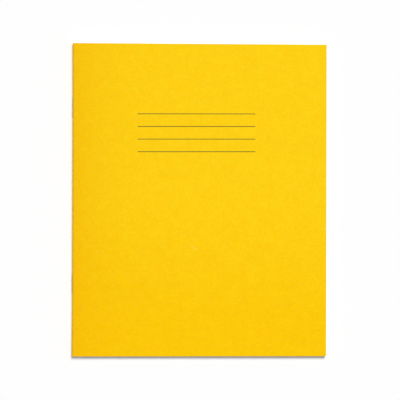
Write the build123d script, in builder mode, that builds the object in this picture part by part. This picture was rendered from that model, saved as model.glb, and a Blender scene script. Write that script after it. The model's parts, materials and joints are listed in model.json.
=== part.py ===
"""A stapled exercise book, closed, front cover up: one folded card cover, folded sheets and two wire staples.

Millimetres. +X runs from the spine to the fore-edge, +Y to the head of the book, +Z up through the
front cover. The origin is the middle of the footprint, on the surface that the back cover lies on.

Every fold goes round one line, the fold axis, which runs along Y at mid thickness: its back is pressed flat
between two round shoulders. The leaves and the cover boards turn on that line when the book opens.
"""
import os

from build123d import *

# Book
book_width = 165.0  # spine to fore-edge
book_height = 203.0  # tail to head
sheet_count = 12  # folded sheets, two leaves each

# Card and paper
card = 0.28  # cover card thickness
paper = 0.09  # page paper thickness
fold_gap = 0.015  # air between two nested folds
cover_gap = 0.03  # air between the cover and the outermost sheet
gutter = 1.5  # fold axis to the line where the leaves lie flat
shoulder_share = 0.5  # how much of a fold's half height bends round each shoulder; the rest is pressed flat

# Staples
wire = 0.5  # wire diameter
wire_clearance = 0.05  # room round the wire where it pierces card and paper
bend_inside = 0.05  # inside radius of the wire's bends
crown_length = 12.0  # leg to leg, over the wire's centre lines
crown_seat = 0.15  # how far the crown presses into the card of the spine
clinch_length = 4.6  # each bent-over leg end, from the leg's centre line
staple_pitch = 114.0  # between the two staples
staple_rise = 3.0  # middle of the staples above the middle of the spine

# Wire and the square holes that its chisel-cut legs pierce
wire_bend = bend_inside + wire / 2
leg_hole = wire + 2 * wire_clearance

# Reach of the nested folds from the fold axis, from the clinched wire outwards
inner_fold = wire / 2 + wire_clearance + fold_gap + paper / 2
outer_fold = inner_fold + (sheet_count - 1) * (paper + fold_gap)
cover_inner = outer_fold + paper / 2 + cover_gap
cover_outer = cover_inner + card
leaf_pitch = outer_fold / (sheet_count - 0.5)

# Places in the frame
crown_radius = cover_outer - crown_seat + wire / 2  # fold axis to the crown's centre line
axis_x = cover_outer - book_width / 2
axis_z = cover_outer
fore_edge = book_width / 2
leaf_start = axis_x + gutter
staple_places = {
    "head_staple": staple_rise + staple_pitch / 2,
    "tail_staple": staple_rise - staple_pitch / 2,
}

# Section plane at the tail: local x along +X, local y along +Z, extruded towards the head
tail_plane = Plane(origin=(axis_x, -book_height / 2, axis_z), x_dir=(1, 0, 0), z_dir=(0, -1, 0))


def sheet_fold_reach(number):
    """How far a sheet's fold reaches from the fold axis, at mid paper; sheet 1 is the outermost."""
    return inner_fold + (sheet_count - number) * (paper + fold_gap)


def leaf_height(number):
    """Height of a sheet's leaves above and below the fold axis."""
    return (sheet_count - number + 0.5) * leaf_pitch


def staple_path(centre):
    """The bent wire's centre line: clinch, leg, crown, leg, clinch."""
    half = crown_length / 2
    crown_x = axis_x - crown_radius
    points = [
        (axis_x, centre - half + clinch_length, axis_z),
        (axis_x, centre - half, axis_z),
        (crown_x, centre - half, axis_z),
        (crown_x, centre + half, axis_z),
        (axis_x, centre + half, axis_z),
        (axis_x, centre + half - clinch_length, axis_z),
    ]
    with BuildLine() as centre_line:
        FilletPolyline(*points, radius=wire_bend)
    return centre_line.wire()


def pierce_legs():
    """Cut the square holes of all four staple legs through the fold being built."""
    for centre in staple_places.values():
        for leg in (centre - crown_length / 2, centre + crown_length / 2):
            with Locations((axis_x, leg, axis_z)):
                Box(
                    crown_radius,
                    leg_hole,
                    leg_hole,
                    align=(Align.MAX, Align.CENTER, Align.CENTER),
                    mode=Mode.SUBTRACT,
                )


def press_crowns():
    """Cut the two grooves that the staple crowns press into the outside of the spine."""
    groove_floor = axis_x - cover_outer + crown_seat + wire_clearance
    for centre in staple_places.values():
        with Locations((groove_floor, centre, axis_z)):
            Box(
                wire,
                crown_length + leg_hole,
                leg_hole,
                align=(Align.MAX, Align.CENTER, Align.CENTER),
                mode=Mode.SUBTRACT,
            )


def folded_strip(middle_reach, flat_height, thickness):
    """A bent strip: a flat back between two round shoulders, and two legs that close in to the flat height."""
    half = thickness / 2
    shoulder = shoulder_share * middle_reach
    with BuildSketch(tail_plane) as section:
        with BuildLine():
            for side in (half, -half):
                reach = middle_reach + side
                height = flat_height + side
                corners = [(0, reach), (-reach, reach), (-reach, -reach), (0, -reach)]
                Line((gutter, height), corners[0])
                FilletPolyline(*corners, radius=shoulder + side)
                Line(corners[-1], (gutter, -height))
            for end in (flat_height, -flat_height):
                Line((gutter, end - half), (gutter, end + half))
        make_face()
    extrude(section.sketch, amount=-book_height)


def flat_board(bottom, thickness):
    """A flat rectangle of paper or card from the gutter line to the fore-edge."""
    length = fore_edge - leaf_start
    with Locations(((leaf_start + fore_edge) / 2, 0, bottom)):
        Box(length, book_height, thickness, align=(Align.CENTER, Align.CENTER, Align.MIN))


def keep(piece, name):
    """Label a finished piece and write it under its own name."""
    piece.label = name
    export_step(piece, f"parts/{name}.step")


os.makedirs("parts", exist_ok=True)

# Cover: one card, creased into two boards and a pressed spine
with BuildPart() as back_cover:
    flat_board(0, card)
keep(back_cover.part, "back_cover")

with BuildPart() as front_cover:
    flat_board(axis_z + cover_inner, card)
keep(front_cover.part, "front_cover")

with BuildPart() as cover_spine:
    folded_strip(cover_inner + card / 2, cover_inner + card / 2, card)
    pierce_legs()
    press_crowns()
keep(cover_spine.part, "cover_spine")

# Sheets: each is a front leaf, a fold and a back leaf
for number in range(1, sheet_count + 1):
    with BuildPart() as fold:
        folded_strip(sheet_fold_reach(number), leaf_height(number), paper)
        pierce_legs()
    keep(fold.part, f"sheet_{number:02d}_fold")

    with BuildPart() as front_leaf:
        flat_board(axis_z + leaf_height(number) - paper / 2, paper)
    keep(front_leaf.part, f"sheet_{number:02d}_front_leaf")

    with BuildPart() as back_leaf:
        flat_board(axis_z - leaf_height(number) - paper / 2, paper)
    keep(back_leaf.part, f"sheet_{number:02d}_back_leaf")

# Staples: round wire bent along its centre line
for name, centre in staple_places.items():
    with BuildPart() as staple:
        path = staple_path(centre)
        with BuildSketch(Plane(origin=path @ 0, z_dir=path % 0)):
            Circle(wire / 2)
        sweep(path=path)
    keep(staple.part, name)
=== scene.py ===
"""Looks of the stapled exercise book: yellow card cover, ruled paper and two wire staples on a pale floor.

Metres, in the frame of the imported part: +X from the spine to the fore-edge, +Y to the head, +Z up through
the front cover. In the section across the book, u and w are measured from the fold axis along X and Z.
Finishes work in millimetres on the sheet laid flat: across it from the fold axis, and along it from the
middle to the head.
"""
import json
import math

import bpy
import numpy as np
from mathutils import Matrix, Vector


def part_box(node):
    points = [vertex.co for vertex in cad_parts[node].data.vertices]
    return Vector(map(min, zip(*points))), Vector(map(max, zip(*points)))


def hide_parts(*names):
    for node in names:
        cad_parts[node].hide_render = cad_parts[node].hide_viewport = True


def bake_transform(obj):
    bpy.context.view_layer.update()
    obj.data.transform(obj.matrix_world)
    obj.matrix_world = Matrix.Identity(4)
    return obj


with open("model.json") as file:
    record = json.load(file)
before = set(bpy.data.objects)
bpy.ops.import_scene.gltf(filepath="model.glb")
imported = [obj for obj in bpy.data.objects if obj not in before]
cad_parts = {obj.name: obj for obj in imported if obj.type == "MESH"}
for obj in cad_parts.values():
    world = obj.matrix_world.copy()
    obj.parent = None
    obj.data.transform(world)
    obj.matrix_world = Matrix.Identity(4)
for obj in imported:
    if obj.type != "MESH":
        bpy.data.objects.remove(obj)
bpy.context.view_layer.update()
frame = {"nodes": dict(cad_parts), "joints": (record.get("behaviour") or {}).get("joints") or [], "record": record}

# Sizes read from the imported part
bodies = frame["record"]["behaviour"]["bodies"]
body_of = {node: body for body, nodes in bodies.items() for node in nodes}
joints = {joint["name"]: joint for joint in frame["joints"]}
axis_x, _, axis_z = joints["centre_opening"]["pos_m"]
front_low, front_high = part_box("front_cover")
card = front_high.z - front_low.z
card_middle = front_high.z - axis_z - card / 2  # fold axis to the middle of the card
gutter = front_low.x - axis_x
width = front_high.x - axis_x
tail, head = front_low.y, front_high.y
sheet_count = sum(node.endswith("_fold") for node in body_of)
staples = ("head_staple", "tail_staple")
staple_boxes = [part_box(staple) for staple in staples]
wire = staple_boxes[0][1].z - staple_boxes[0][0].z
leg_places = np.array([leg for low, high in staple_boxes for leg in (low.y + wire / 2, high.y - wire / 2)])

mm = 1000  # millimetres in a metre


def linear(red, green, blue):
    """A colour of 0 to 255 steps as the light it stands for."""
    steps = np.array([red, green, blue]) / 255
    light = np.where(steps <= 0.04045, steps / 12.92, ((steps + 0.055) / 1.055) ** 2.4)
    return (*light.tolist(), 1.0)


# Card cover
cover_rows = 49  # points along the cover
crease = 0.0012  # width of the band that bends where the front board opens
spine_steps = 61  # points round the spine
spine_square = 4.0  # power of the spine's section: 2 is a half circle, more is squarer at the shoulders
crown_press = 0.00016  # how far the staple crowns press into the card
crown_dip = 0.0005  # spread of that dip round the spine
crown_end = 0.00025  # run-out of the dip past the crown's ends
leg_pull = 0.00004  # extra dip where the legs go in
leg_spread = 0.0007  # spread of the extra dip along the spine
near_reach, near_step = 0.003, 0.0002  # finer points on the spine, to this far past each staple
card_at_tail, card_at_head = linear(248, 197, 0), linear(248.5, 204, 15)
# colour of the painted shade along the spine
painted_spine_shade_colour = linear(240, 183, 0)
card_bloom = linear(252, 216, 80)
card_rubbed = linear(253, 222, 78)
cut_card_deep, cut_card_pale = linear(240, 190, 10), linear(247, 206, 40)
dye_deep, dye_pale = (1.0, 0.945, 0.45), (1.0, 1.045, 1.5)  # tints where the card took more or less dye
tone_tail, tone_head = -0.092, 0.016  # the tail's tone goes over into the head's tone between these stations
tone_wander = 0.022  # how far the clouds move that change
painted_spine_shade_reach = 0.024  # reach of the painted shade along the spine

# Folds of card and paper
leg_hole = wire + 0.0001  # side of the square holes that the legs pierce in card and paper
spine_flare = 0.00017  # how much further the folds stand out at the head and the tail
flare_from = 0.064  # where the flare starts, from the middle of the spine
fold_steps = 25  # points round a sheet's fold
fold_recess = 0.00003  # the folds end this far inside the head and tail edges of the leaves
fold_reach = 1.0  # section places this far below and above the fold axis are given to bend for each fold

# Four printed lines on the front board, and a rub below them
line_left, line_right = -0.0405, 0.03605
line_top, line_pitch, line_count = 0.05596, 0.0082, 4
line_width = 0.00045
line_skew = 0.0039  # the print stands this much out of square on the card
line_end = 0.00005  # softness of the lines' ends
line_ink = linear(44, 74, 42)
ink_edge = 0.00003  # softness of a printed line's sides
rub_place = (-0.0038, -0.0312)
rub_length, rub_breadth = 0.00286, 0.001177  # half axes of the rub
rub_turn = math.radians(30)

# Pages
page_rows = 25  # points along a page
paper_dull, paper_clear = linear(235, 234, 229), linear(241, 241, 238)
feint_pitch = 0.008
feint_width = 0.00022
feint_from_head = 0.021
feint_from_tail = 0.009
feint_count = math.floor((head - tail - feint_from_head - feint_from_tail) / feint_pitch) + 1
feint_ink = linear(186, 190, 194)
margin_place = 0.027  # from the left side of each page
margin_width = 0.0003
margin_ink = linear(228, 130, 152)
arch_to = 0.005  # the back leaves are split into two pieces this far from the fold axis; in the open book leaves arch out of the folds up to here
bend_to = 0.014  # from there to here the leaves keep closely spaced points; in the open book back leaves rise up to their fan there

# Small differences between leaves
chance = np.random.default_rng(12)
cockle_height = 0.000012
cockle_waves = 3
cockle_lengths = (0.025, 0.07)  # shortest and longest wave
cockle_from, cockle_rise = 0.004, 0.03  # where the cockle starts from the fold axis, and how soon it is full
edge_shade = 0.14  # how much the tone of the cut edges differs
shade_lengths = (0.02, 0.06)  # shortest and longest wave of that tone along an edge

# Staple wire
wire_dull, wire_bright = linear(208, 209, 211), linear(226, 226, 224)

rim_angle = math.radians(50)  # edges sharper than this stay crisp

# Studio
floor_white = 0.945
floor_reach = 15.0
floor_drop = 0.00002
key_from = (0.2, 0.5, 1.0)
key_strength = 2.665
key_spread = math.radians(26)
fill_strength = 0.3
camera_lens = 135.0
camera_distance = 0.9744
camera_lean = (math.radians(-2.25), math.radians(-0.42))
camera_roll = math.radians(0.145)
camera_aim = (0.00008, 0.0, front_high.z)


class Strand:
    """A socket in a finish. Sums written with it add Math nodes to that finish."""

    def __init__(self, finish, socket):
        self.finish, self.socket = finish, socket

    def out(self, name):
        """Another output of the same node."""
        return Strand(self.finish, self.socket.node.outputs[name])

    def sum(self, operation, *values, clamp=False):
        """One Math node's result from these values."""
        sockets = dict(enumerate(values))
        return self.finish.node("ShaderNodeMath", {"operation": operation, "use_clamp": clamp}, sockets)

    def __add__(self, other):
        return self.sum("ADD", self, other)

    def __radd__(self, other):
        return self.sum("ADD", other, self)

    def __sub__(self, other):
        return self.sum("SUBTRACT", self, other)

    def __rsub__(self, other):
        return self.sum("SUBTRACT", other, self)

    def __mul__(self, other):
        return self.sum("MULTIPLY", self, other)

    def __rmul__(self, other):
        return self.sum("MULTIPLY", other, self)

    def __truediv__(self, other):
        return self.sum("DIVIDE", self, other)

    def __rtruediv__(self, other):
        return self.sum("DIVIDE", other, self)

    def __pow__(self, other):
        return self.sum("POWER", self, other)

    def __abs__(self):
        return self.sum("ABSOLUTE", self)

    def held(self):
        """The value kept between 0 and 1."""
        return self.sum("ADD", self, 0.0, clamp=True)

    def rise(self, low, high):
        """0 below low, 1 above high, and a smooth step between them; low may be the larger."""
        sockets = {0: self, 1: low, 2: high, 3: 0.0, 4: 1.0}
        return self.finish.node("ShaderNodeMapRange", {"interpolation_type": "SMOOTHSTEP"}, sockets)

    def fade(self, reach):
        """exp(-|value| / reach)."""
        return self.sum("EXPONENT", abs(self) * (-1 / reach))

    def stroke(self, breadth):
        """1 where this distance is under half the breadth of a printed line, with the ink's soft edge."""
        return self.rise((breadth / 2 + ink_edge) * mm, (breadth / 2 - ink_edge) * mm)


class Finish:
    """A material made of nodes round one Principled shader."""

    def __init__(self, name, **fixed):
        self.material = bpy.data.materials.new(name)
        self.material.use_nodes = True
        self.tree = self.material.node_tree
        self.shader = self.tree.nodes["Principled BSDF"]
        self.feed(**fixed)

    def node(self, kind, settings=None, sockets=None, output=0):
        """Any node: its settings first, then the values or links of its sockets."""
        made = self.tree.nodes.new(kind)
        for name, value in (settings or {}).items():
            setattr(made, name, value)
        for name, value in (sockets or {}).items():
            self.set(made.inputs[name], value)
        return Strand(self, made.outputs[output])

    def set(self, socket, value):
        """Link a strand to a socket, or give the socket a fixed value."""
        if isinstance(value, Strand):
            self.tree.links.new(value.socket, socket)
        else:
            socket.default_value = value

    def feed(self, **sockets):
        """Values or links of the shader's own sockets, named with _ for a space."""
        for name, value in sockets.items():
            self.set(self.shader.inputs[name.replace("_", " ")], value)
        return self.material

    def flat_millimetres(self):
        """The sheet's own flat map, in millimetres, as a vector and as its two values."""
        place = self.brighten(self.node("ShaderNodeUVMap", {"uv_map": "flat"}), mm)
        parts = self.node("ShaderNodeSeparateXYZ", {}, {0: place})
        return place, parts.out("X"), parts.out("Y")

    def turned(self, place, angle, scale=(1.0, 1.0, 1.0)):
        """A place turned about Z and then stretched by scale along each axis."""
        sockets = {"Vector": place, "Angle": angle}
        return self.tint(self.node("ShaderNodeVectorRotate", {"rotation_type": "Z_AXIS"}, sockets), scale)

    def noise(self, place, scale, detail, roughness):
        """Noise about 0, from roughly -0.5 to 0.5."""
        sockets = {"Vector": place, "Scale": scale, "Detail": detail, "Roughness": roughness}
        return self.node("ShaderNodeTexNoise", {"noise_dimensions": "3D"}, sockets) - 0.5

    def specks(self, place, scale, size):
        """Round spots in about one Voronoi cell in eight: 1 in the middle, 0 outside the size."""
        spot = self.node("ShaderNodeTexVoronoi", {"feature": "F1"}, {"Vector": place, "Scale": scale})
        pick = self.node("ShaderNodeSeparateXYZ", {}, {0: spot.out("Color")})
        return spot.rise(size, size * 0.4) * pick.rise(0.86, 0.9)

    def fibres(self, place, turns):
        """Short fibres lying in several directions: noise drawn out along one axis, kept where it peaks."""
        total = 0.0
        for number, angle in enumerate(turns):
            drawn_out = self.turned(place, angle, (0.55, 5.5, 1.0 + number))
            total = self.noise(drawn_out, scale=1, detail=2, roughness=0.4).rise(0.1, 0.3) + total
        return total

    def ruled(self, along, first, pitch, count, breadth, bleed):
        """1 on each of count lines across a sheet, pitch apart from first downwards, and 0 between them.

        The distance to the nearest line is the number of pitches gone, folded back at every half."""
        step = (first * mm - along) / (pitch * mm)
        away = self.node("ShaderNodeMath", {"operation": "PINGPONG"}, {0: step, 1: 0.5}) * (pitch * mm)
        shown = step.rise(-0.25, -0.2) * step.rise(count - 0.75, count - 0.8)
        return (away + bleed).stroke(breadth) * shown

    def mix(self, share, first, second):
        """The first colour where share is 0, the second where it is 1."""
        sockets = {"Factor": share, 6: first, 7: second}
        return self.node("ShaderNodeMix", {"data_type": "RGBA"}, sockets, output=2)

    def tint(self, colour, factors):
        """A colour or vector times one factor for each of its three values."""
        return self.node("ShaderNodeVectorMath", {"operation": "MULTIPLY"}, {0: colour, 1: factors})

    def brighten(self, colour, factor):
        """A colour or vector times one factor."""
        return self.node("ShaderNodeVectorMath", {"operation": "SCALE"}, {"Vector": colour, "Scale": factor})

    def bump(self, height, strength, distance):
        """The surface's normal, tilted as heights of this many metres would tilt it."""
        return self.node("ShaderNodeBump", {}, {"Strength": strength, "Distance": distance, "Height": height})


def cover_card(name, printed=False):
    """Uncoated dyed card: lemon at the head, deeper at the tail, with painted shade along the spine, and with
    clouds, fibres and specks.

    The printed card also has the four lines and a faint pale rub."""
    finish = Finish(name, IOR=1.45, Specular_IOR_Level=0.06)
    place, across, along = finish.flat_millimetres()
    clouds = finish.noise(place, scale=0.075, detail=3, roughness=0.55)
    patches = finish.noise(place, scale=0.17, detail=4, roughness=0.68)
    uneven = finish.noise(finish.turned(place, 0.7), scale=0.21, detail=4, roughness=0.68)
    bloom = finish.noise(finish.turned(place, 1.9), scale=0.42, detail=4, roughness=0.75)
    mottle = finish.noise(place, scale=0.62, detail=3, roughness=0.6)
    fleck = finish.noise(finish.turned(place, 1.1), scale=1.5, detail=2, roughness=0.6)
    grain = finish.noise(place, scale=2.6, detail=2, roughness=0.6)
    fibres = finish.fibres(place, turns=(0.35, 1.45, 2.55))
    dark_fibres = finish.fibres(place, turns=(0.9, 2.0, 3.0))
    dark_specks = finish.specks(place, scale=0.42, size=0.16)

    to_head = (along + clouds * (tone_wander * mm)).rise(tone_tail * mm, tone_head * mm)
    colour = finish.mix(to_head, card_at_tail, card_at_head)
    # painted shade: the card darkens towards the spine and fades with distance from it
    from_spine = across + spine_length / 2 * mm
    painted_spine_shade_share = from_spine.fade(painted_spine_shade_reach * mm) * (0.8 + clouds * 0.5)
    colour = finish.mix(painted_spine_shade_share.held(), colour, painted_spine_shade_colour)
    dyed = (0.5 + patches * 2 + mottle * 0.4 + fleck * 2).held()
    colour = finish.mix(dyed, finish.tint(colour, dye_deep), finish.tint(colour, dye_pale))
    soft_tone = clouds * 0.05 + uneven * 0.05 + mottle * 0.15 + grain * 0.24
    fine_tone = fibres * 0.022 - dark_fibres * 0.022 - dark_specks * 0.11
    colour = finish.brighten(colour, 1 + soft_tone + fine_tone)
    colour = finish.mix((bloom * 4 + 0.15).held() * 0.09, colour, card_bloom)
    roughness = 0.84 + mottle * 0.1 - fibres * 0.03
    height = mottle * 0.22 + grain * 0.45 + fibres * 0.3

    if printed:
        x = across + axis_x * mm
        rub_x, rub_y = x - rub_place[0] * mm, along - rub_place[1] * mm
        rub_along = rub_x * math.cos(rub_turn) - rub_y * math.sin(rub_turn)
        rub_across = rub_x * math.sin(rub_turn) + rub_y * math.cos(rub_turn)
        rub = (rub_along / (rub_length * mm)) ** 2 + (rub_across / (rub_breadth * mm)) ** 2
        worn = rub.rise(1.0, 0.0) * (0.3 + grain * 1.2 + fibres * 0.2).held()
        colour = finish.mix(worn, colour, card_rubbed)

        bleed = grain * 0.05
        soft = line_end * mm
        from_left, from_right = x - line_left * mm + bleed, line_right * mm - x + bleed
        inside = from_left.rise(-soft, soft) * from_right.rise(-soft, soft)
        squared = along - (x - (line_left + line_right) / 2 * mm) * line_skew
        ink = inside * finish.ruled(squared, line_top, line_pitch, line_count, line_width, bleed)
        colour = finish.mix(ink * 0.96, colour, line_ink)
        roughness = roughness - ink * 0.12
    normal = finish.bump(height, strength=0.35, distance=0.00006)
    return finish.feed(Base_Color=colour, Roughness=roughness, Normal=normal)


def card_edge(name):
    """The card's cut edge: the same dye, paler, with the layers of fibre showing as fine streaks along it."""
    finish = Finish(name, IOR=1.45, Specular_IOR_Level=0.15)
    place, _, _ = finish.flat_millimetres()
    layers = finish.noise(finish.turned(place, 0.0, (3.0, 3.0, 1.0)), scale=3, detail=3, roughness=0.6)
    colour = finish.mix((layers + 0.4).held(), cut_card_deep, cut_card_pale)
    colour = finish.brighten(colour, 1 + layers * 0.2)
    normal = finish.bump(layers, strength=0.5, distance=0.00005)
    return finish.feed(Base_Color=colour, Roughness=0.9 + layers * 0.1, Normal=normal)


def page_paper(name, margin=None):
    """White writing paper with a cloudy formation and fine fibres.

    With a margin, its distance from the fold axis, it is a page with grey feint lines and a red margin
    line. Without one it is the cut edge of the leaves, a little lighter or darker from leaf to leaf."""
    finish = Finish(name, IOR=1.45, Specular_IOR_Level=0.25)
    place, across, along = finish.flat_millimetres()
    clouds = finish.noise(place, scale=0.3, detail=3, roughness=0.6)
    grain = finish.noise(place, scale=3, detail=2, roughness=0.6)
    fibres = finish.fibres(place, turns=(0.2, 1.25, 2.3))
    colour = finish.mix((clouds + 0.5).held(), paper_dull, paper_clear)
    colour = finish.brighten(colour, 1 + clouds * 0.025 + grain * 0.02 - fibres * 0.008)
    if margin is None:
        leaf_tone = finish.node("ShaderNodeAttribute", {"attribute_name": "leaf_tone"}, output="Fac")
        colour = finish.brighten(colour, 1 + leaf_tone)
    else:
        bleed = grain * 0.04
        feint = finish.ruled(along, head - feint_from_head, feint_pitch, feint_count, feint_width, bleed)
        colour = finish.mix(feint * 0.85, colour, feint_ink)
        bar = (abs(across - margin * mm) + bleed).stroke(margin_width)
        colour = finish.mix(bar * 0.9, colour, margin_ink)
    roughness = 0.82 + clouds * 0.06 + grain * 0.05
    height = clouds * 0.3 + grain * 0.4 + fibres * 0.2
    normal = finish.bump(height, strength=0.25, distance=0.00003)
    return finish.feed(Base_Color=colour, Roughness=roughness, Normal=normal)


def staple_wire(name):
    """Drawn steel wire: fine lines along the wire, duller patches and a few dark nicks."""
    finish = Finish(name, Metallic=1.0)
    place = finish.brighten(finish.node("ShaderNodeTexCoord", output="Object"), mm)
    drawn = finish.noise(finish.turned(place, 0.0, (9.0, 0.35, 9.0)), scale=1, detail=3, roughness=0.6)
    dull = finish.noise(place, scale=0.8, detail=2, roughness=0.5)
    nicks = finish.specks(place, scale=2, size=0.12)
    colour = finish.mix((dull + 0.5).held(), wire_dull, wire_bright)
    colour = finish.brighten(colour, 1 + drawn * 0.25 + dull * 0.2 - nicks * 0.35)
    roughness = 0.3 + dull * 0.2 + drawn * 0.15
    normal = finish.bump(drawn, strength=0.3, distance=0.00002)
    return finish.feed(Base_Color=colour, Roughness=roughness, Normal=normal)


def studio_floor(name):
    """A plain pale sweep with a barely visible paper grain."""
    finish = Finish(name, IOR=1.45, Specular_IOR_Level=0.1)
    place = finish.node("ShaderNodeTexCoord", output="Object")
    grain = finish.noise(place, scale=900, detail=2, roughness=0.5)
    colour = finish.brighten((floor_white, floor_white, floor_white), 1 + grain * 0.004)
    return finish.feed(Base_Color=colour, Roughness=0.85 + grain * 0.05)


def make_sheet(name, outer, inner, flat, thickness, finishes, leaf_tone=None, holes=None):
    """A closed sheet between two grids of points, n across the book and m along it.

    Quads join neighbouring points on the outer grid, and on the inner grid in the other order, but not in
    the cells that holes names. Wherever a kept cell has no neighbour, at the rims and round the holes, a quad
    from the outer to the inner grid closes the sheet, and there the flat map runs on outwards by the sheet's
    thickness. finishes are the materials of the outside, the inside and these borders."""
    n, m = flat.shape[:2]
    out, inn = np.arange(2 * n * m).reshape(2, n, m)
    kept = np.ones((n - 1, m - 1), bool) if holes is None else ~holes
    filled = np.pad(kept, 1)
    before, after = filled[:-1, 1:-1], filled[1:, 1:-1]
    left, right = filled[1:-1, :-1], filled[1:-1, 1:]

    def quads(where, *corners):
        return np.stack(corners, axis=-1)[where]

    strips = [
        (quads(kept, out[:-1, :-1], out[1:, :-1], out[1:, 1:], out[:-1, 1:]), 0, (0, 0)),
        (quads(kept, inn[:-1, :-1], inn[:-1, 1:], inn[1:, 1:], inn[1:, :-1]), 1, (0, 0)),
        (quads(after & ~before, out[:, :-1], out[:, 1:], inn[:, 1:], inn[:, :-1]), 2, (-1, 0)),
        (quads(before & ~after, out[:, :-1], inn[:, :-1], inn[:, 1:], out[:, 1:]), 2, (1, 0)),
        (quads(right & ~left, out[:-1], inn[:-1], inn[1:], out[1:]), 2, (0, -1)),
        (quads(left & ~right, out[:-1], out[1:], inn[1:], inn[:-1]), 2, (0, 1)),
    ]
    corners = np.concatenate([quad for quad, _, _ in strips])
    part = np.concatenate([np.full(len(quad), kind) for quad, kind, _ in strips])
    run_on = np.concatenate([np.tile(way, (len(quad), 1)) for quad, _, way in strips])
    place = np.concatenate([flat.reshape(-1, 2)] * 2)
    spread = place[corners] + (corners >= n * m)[..., None] * run_on[:, None, :] * thickness
    used, faces = np.unique(corners, return_inverse=True)
    points = np.concatenate([outer.reshape(-1, 3), inner.reshape(-1, 3)])[used]

    mesh = bpy.data.meshes.new(name)
    mesh.from_pydata(points.tolist(), [], faces.reshape(-1, 4).tolist())
    mesh.uv_layers.new(name="flat").data.foreach_set("uv", spread.astype(np.float32).ravel())
    for finish in finishes:
        mesh.materials.append(finish)
    mesh.polygons.foreach_set("material_index", part.astype(np.int32))
    if leaf_tone is not None:
        shades = np.tile(np.broadcast_to(leaf_tone, (n, m)).ravel(), 2)[used]
        tones = mesh.attributes.new("leaf_tone", "FLOAT", "POINT")
        tones.data.foreach_set("value", shades.astype(np.float32))
    mesh.shade_smooth()
    mesh.set_sharp_from_angle(angle=rim_angle)
    piece = bpy.data.objects.new(name, mesh)
    bpy.context.scene.collection.objects.link(piece)
    return piece


def in_frame(u, w, y):
    """Section places u, w (n or n by m) and stations y (m) as a grid of points in the frame."""
    shape = (len(u), len(y))
    u, w = (np.broadcast_to(v.reshape(len(v), -1), shape) for v in (u, w))
    return np.stack([axis_x + u, np.broadcast_to(y, shape), axis_z + w], axis=-1)


def flat_map(across, y):
    """The sheet laid out flat: distance across it and station along it."""
    return np.stack(np.meshgrid(across, y, indexing="ij"), axis=-1)


def lay_flat(name, across, heights, y, thickness, finishes, leaf_tone=None, developed=None):
    """A board or leaf: its middle line moved up and down by half the thickness.

    The middle line has these heights at the places across. developed are the places on the sheet laid flat,
    if they aren't the places across."""
    upper, lower = (in_frame(across, heights + side * thickness / 2, y) for side in (1, -1))
    flat = flat_map(across if developed is None else developed, y)
    return make_sheet(name, upper, lower, flat, thickness, finishes, leaf_tone)


def even_runs(*runs):
    """Places in even steps over several runs, each given as first place, last place and number of places."""
    return np.unique(np.concatenate([np.linspace(*run) for run in runs]))


def smooth_step(share):
    """3 t^2 - 2 t^3, with t the share kept between 0 and 1."""
    held = np.clip(share, 0, 1)
    return held * held * (3 - 2 * held)


def cockle(across, y):
    """A leaf's slight waviness: a few low waves of random direction and phase, fading out to the fold."""
    waves = 0.0
    for _ in range(cockle_waves):
        turn, phase = chance.uniform(0, 2 * math.pi, 2)
        length = chance.uniform(*cockle_lengths)
        along = np.cos(turn) * across[:, None] + np.sin(turn) * y[None, :]
        waves = waves + np.sin(2 * math.pi * along / length + phase)
    return cockle_height / cockle_waves * waves * smooth_step((across - cockle_from) / cockle_rise)[:, None]


def shade_of_edge(y):
    """How much lighter or darker a leaf's cut edge is: a random step, and a slow wave along the leaf."""
    wave = np.sin(2 * math.pi * y / chance.uniform(*shade_lengths) + chance.uniform(0, 2 * math.pi))
    return chance.uniform(-1, 0.5) * edge_shade + edge_shade / 3 * wave


def fold_section(middle, steps):
    """A fold's middle line and outward normals, from straight below the fold axis to straight above it.

    A superellipse, |u|^q + |w|^q = middle^q, pressed squarer the further out it lies: q goes from 2 on the
    axis to spine_square at the card. Two more points stand at the sides of the leg holes. The third value is
    the length along the line, which ends at 0 on top."""
    power = 2 + (spine_square - 2) * (middle / card_middle) ** 2
    side = leg_hole / 2
    hole_turn = math.atan2(side, (middle**power - side**power) ** (1 / power))
    even = np.linspace(-0.5 * math.pi, -1.5 * math.pi, steps)
    angle = np.sort(np.append(even, [hole_turn - math.pi, -hole_turn - math.pi]))[::-1]
    ray = np.stack([np.cos(angle), np.sin(angle)])
    line = middle * ray / (np.abs(ray) ** power).sum(axis=0) ** (1 / power)
    slope = np.sign(line) * np.abs(line / middle) ** (power - 1)
    runs = np.linalg.norm(np.diff(line, axis=1), axis=0)
    along = np.concatenate([[0], np.cumsum(runs)])
    return line, slope / np.linalg.norm(slope, axis=0), along - along[-1]


def flare(y):
    """The share by which folds stand out further at head and tail: a smooth step from flare_from."""
    return spine_flare / card_middle * smooth_step((np.abs(y) - flare_from) / (head - flare_from))


def bend_round(name, middle, thickness, y, steps, finishes, dips=None, leaf_tone=None):
    """A fold: its section moved out and in along its normals by half the thickness, with the leg holes.

    dips, a function of the heights over the fold axis and the stations, takes some of the outside away."""
    line, normal, along = fold_section(middle, steps)
    half = np.full((len(along), len(y)), thickness / 2)
    cell_height, cell_y = ((places[1:] + places[:-1]) / 2 for places in (line[1], y))
    to_leg = np.maximum(np.abs(cell_height)[:, None], np.abs(cell_y[:, None] - leg_places).min(axis=1))
    holes = to_leg < leg_hole / 2
    line, normal = line[:, :, None], normal[:, :, None]
    line = line * np.stack([1 + flare(y), np.ones(len(y))])[:, None, :]
    outer = in_frame(*(line + normal * (half - (dips(line[1], y) if dips else 0))), y)
    inner = in_frame(*(line - normal * half), y)
    return make_sheet(name, outer, inner, flat_map(along, y), thickness, finishes, leaf_tone, holes)


def fold_ends(y):
    """Stations along a fold, drawn in a little so that its ends lie behind the leaves' cut edges.

    The sides of the leg holes are added to them."""
    drawn_in = y * (1 - fold_recess / head)
    return np.unique(np.round([*drawn_in, *(leg_places - leg_hole / 2), *(leg_places + leg_hole / 2)], 7))


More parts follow.
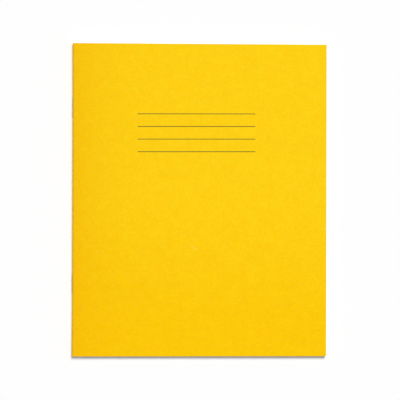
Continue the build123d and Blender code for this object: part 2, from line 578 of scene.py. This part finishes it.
def crown_dips(height, y):
    """The dip under each crown: a bell across the spine, level along it, deeper where the legs go in."""
    bell = np.exp(-((height / crown_dip) ** 2))
    level = sum(
        np.tanh((y - low.y) / crown_end) - np.tanh((y - high.y) / crown_end) for low, high in staple_boxes
    )
    legs = np.exp(-(((y[:, None] - leg_places) / leg_spread) ** 2)).sum(axis=1)
    return bell * (crown_press / 2 * level + leg_pull * legs)


def bend(piece, start, end):
    """Bake a piece's placement into its points; the section places start and end (u, w) go unused."""
    start, end = ((axis_x + u, 0, axis_z + w) for u, w in (start, end))
    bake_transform(piece)


spine_length = -fold_section(card_middle, spine_steps)[2][0]  # card taken up by the spine
card_outside = cover_card("printed yellow card", printed=True)
card_back = cover_card("yellow card")
card_inside = cover_card("yellow card inside")
card_rim = card_edge("cut card edge")
right_page = page_paper("ruled right-hand page", margin=margin_place)
left_page = page_paper("ruled left-hand page", margin=width - margin_place)
page_rim = page_paper("cut paper edge")
steel = staple_wire("drawn steel wire")

# Card cover: two boards and the pressed spine between them. The inner edge of the front board, at the spine, is a
# piece apart from the board.
cover_y = np.linspace(tail, head, cover_rows)
joint_places = np.linspace(0, gutter, 13)
flat_places = even_runs((gutter, gutter + crease, 13), (gutter + crease, width, 41))
board_places = np.union1d(joint_places, flat_places)
front_finishes = (card_outside, card_inside, card_rim)
level = np.full(len(joint_places), card_middle)
front_joint = lay_flat("front_joint", joint_places, level, cover_y, card, front_finishes)
bend(front_joint, (-gutter, 0), (gutter, 0))

level = np.full(len(flat_places), card_middle)
front_board = lay_flat("front_board", flat_places, level, cover_y, card, front_finishes)
card_top = front_high.z - axis_z
bend(front_board, (gutter, card_top), (gutter + crease, card_top))
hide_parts("front_cover")

back_finishes = (card_inside, card_back, card_rim)
level = np.full(len(board_places), -card_middle)
developed = -spine_length - board_places
back_board = lay_flat("back_board", board_places, level, cover_y, card, back_finishes, developed=developed)
bend(back_board, (-gutter, 0), (gutter, 0))
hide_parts("back_cover")

near_staples = [np.arange(low.y - near_reach, high.y + near_reach, near_step) for low, high in staple_boxes]
spine_y = fold_ends(np.concatenate([cover_y, *near_staples]))
spine_finishes = (card_back, card_inside, card_rim)
spine = bend_round("spine", card_middle, card, spine_y, spine_steps, spine_finishes, crown_dips)
bend(spine, (0, -fold_reach), (0, fold_reach))
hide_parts("cover_spine")

# Sheets: each has a front leaf, a back leaf and the fold between them. The back leaf is two pieces, split where,
# in the open book, it stops arching out of the fold and starts rising to its own fan.
page_y = np.linspace(tail, head, page_rows)
fold_y = fold_ends(page_y)
leaf_places = even_runs((0, gutter, 13), (gutter, arch_to, 13), (arch_to, bend_to, 13), (bend_to, width, 21))
arched, beyond = leaf_places <= arch_to, leaf_places >= arch_to
leaf_finishes = (right_page, left_page, page_rim)
fold_finishes = (left_page, right_page, page_rim)
for number in range(1, sheet_count + 1):
    sheet = f"sheet_{number:02d}"
    front_node, fold_node, back_node = (f"{sheet}_{part}" for part in ("front_leaf", "fold", "back_leaf"))
    fold_low, fold_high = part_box(fold_node)
    leaf_low, leaf_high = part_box(front_node)
    paper = leaf_high.z - leaf_low.z
    radius = (fold_high.z - fold_low.z - paper) / 2
    flat_height = (leaf_low.z + leaf_high.z) / 2 - axis_z
    heights = (radius + (flat_height - radius) * smooth_step(leaf_places / gutter))[:, None]

    wavy, shade = heights + cockle(leaf_places, page_y), shade_of_edge(page_y)
    front = lay_flat(f"{sheet}_front_page", leaf_places, wavy, page_y, paper, leaf_finishes, shade)
    bend(front, (-arch_to, 0), (arch_to, 0))
    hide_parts(front_node)

    wavy, shade = cockle(leaf_places, page_y) - heights, shade_of_edge(page_y)
    places, rises = leaf_places[beyond], wavy[beyond]
    back = lay_flat(f"{sheet}_back_page", places, rises, page_y, paper, leaf_finishes, shade)
    bend(back, (arch_to, 0), (bend_to, 0))
    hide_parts(back_node)

    places, rises = leaf_places[arched], wavy[arched]
    inner = lay_flat(f"{sheet}_back_gutter", places, rises, page_y, paper, leaf_finishes, shade)
    bend(inner, (-arch_to, 0), (arch_to, 0))

    shade = np.interp(fold_y, page_y, shade)
    fold = bend_round(
        f"{sheet}_folded_back", radius, paper, fold_y, fold_steps, fold_finishes, leaf_tone=shade
    )
    bend(fold, (0, -fold_reach), (0, fold_reach))
    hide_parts(fold_node)

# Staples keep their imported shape
for staple in staples:
    frame["nodes"][staple].material_slots[0].material = steel

# Studio: a wide pale floor, one soft key light from above the head of the book, and an even fill
floor_mesh = bpy.data.meshes.new("floor")
floor_corners = floor_reach * np.array([[-1, -1, 0], [1, -1, 0], [1, 1, 0], [-1, 1, 0]])
floor_corners[:, 2] = -floor_drop
floor_mesh.from_pydata(floor_corners.tolist(), [], [[0, 1, 2, 3]])
floor_mesh.materials.append(studio_floor("pale floor"))
floor = bpy.data.objects.new("floor", floor_mesh)
bpy.context.scene.collection.objects.link(floor)

key_lamp = bpy.data.lights.new("key light", "SUN")
key_lamp.energy = key_strength
key_lamp.angle = key_spread
key = bpy.data.objects.new("key light", key_lamp)
key.rotation_euler = Vector(key_from).to_track_quat("Z", "Y").to_euler()
bpy.context.scene.collection.objects.link(key)

room = bpy.data.worlds.new("even fill")
room.use_nodes = True
fill = room.node_tree.nodes["Background"]
fill.inputs["Color"].default_value = (1, 1, 1, 1)
fill.inputs["Strength"].default_value = fill_strength
bpy.context.scene.world = room
bpy.context.scene.view_settings.view_transform = "Standard"

# Camera straight above the book, leaning a little over the spine
backward = Vector((math.sin(camera_lean[0]), math.sin(camera_lean[1]), 0))
backward.z = math.sqrt(1 - backward.length_squared)
rightward = Vector((0, 1, 0)).cross(backward).normalized()
upward = backward.cross(rightward)
level_view = Matrix((rightward, upward, backward)).transposed()
camera_data = bpy.data.cameras.new("camera")
camera_data.lens = camera_lens
camera = bpy.data.objects.new("camera", camera_data)
camera.rotation_euler = (level_view @ Matrix.Rotation(camera_roll, 3, "Z")).to_euler()
camera.location = Vector(camera_aim) + backward * camera_distance
bpy.context.scene.collection.objects.link(camera)
bpy.context.scene.camera = camera
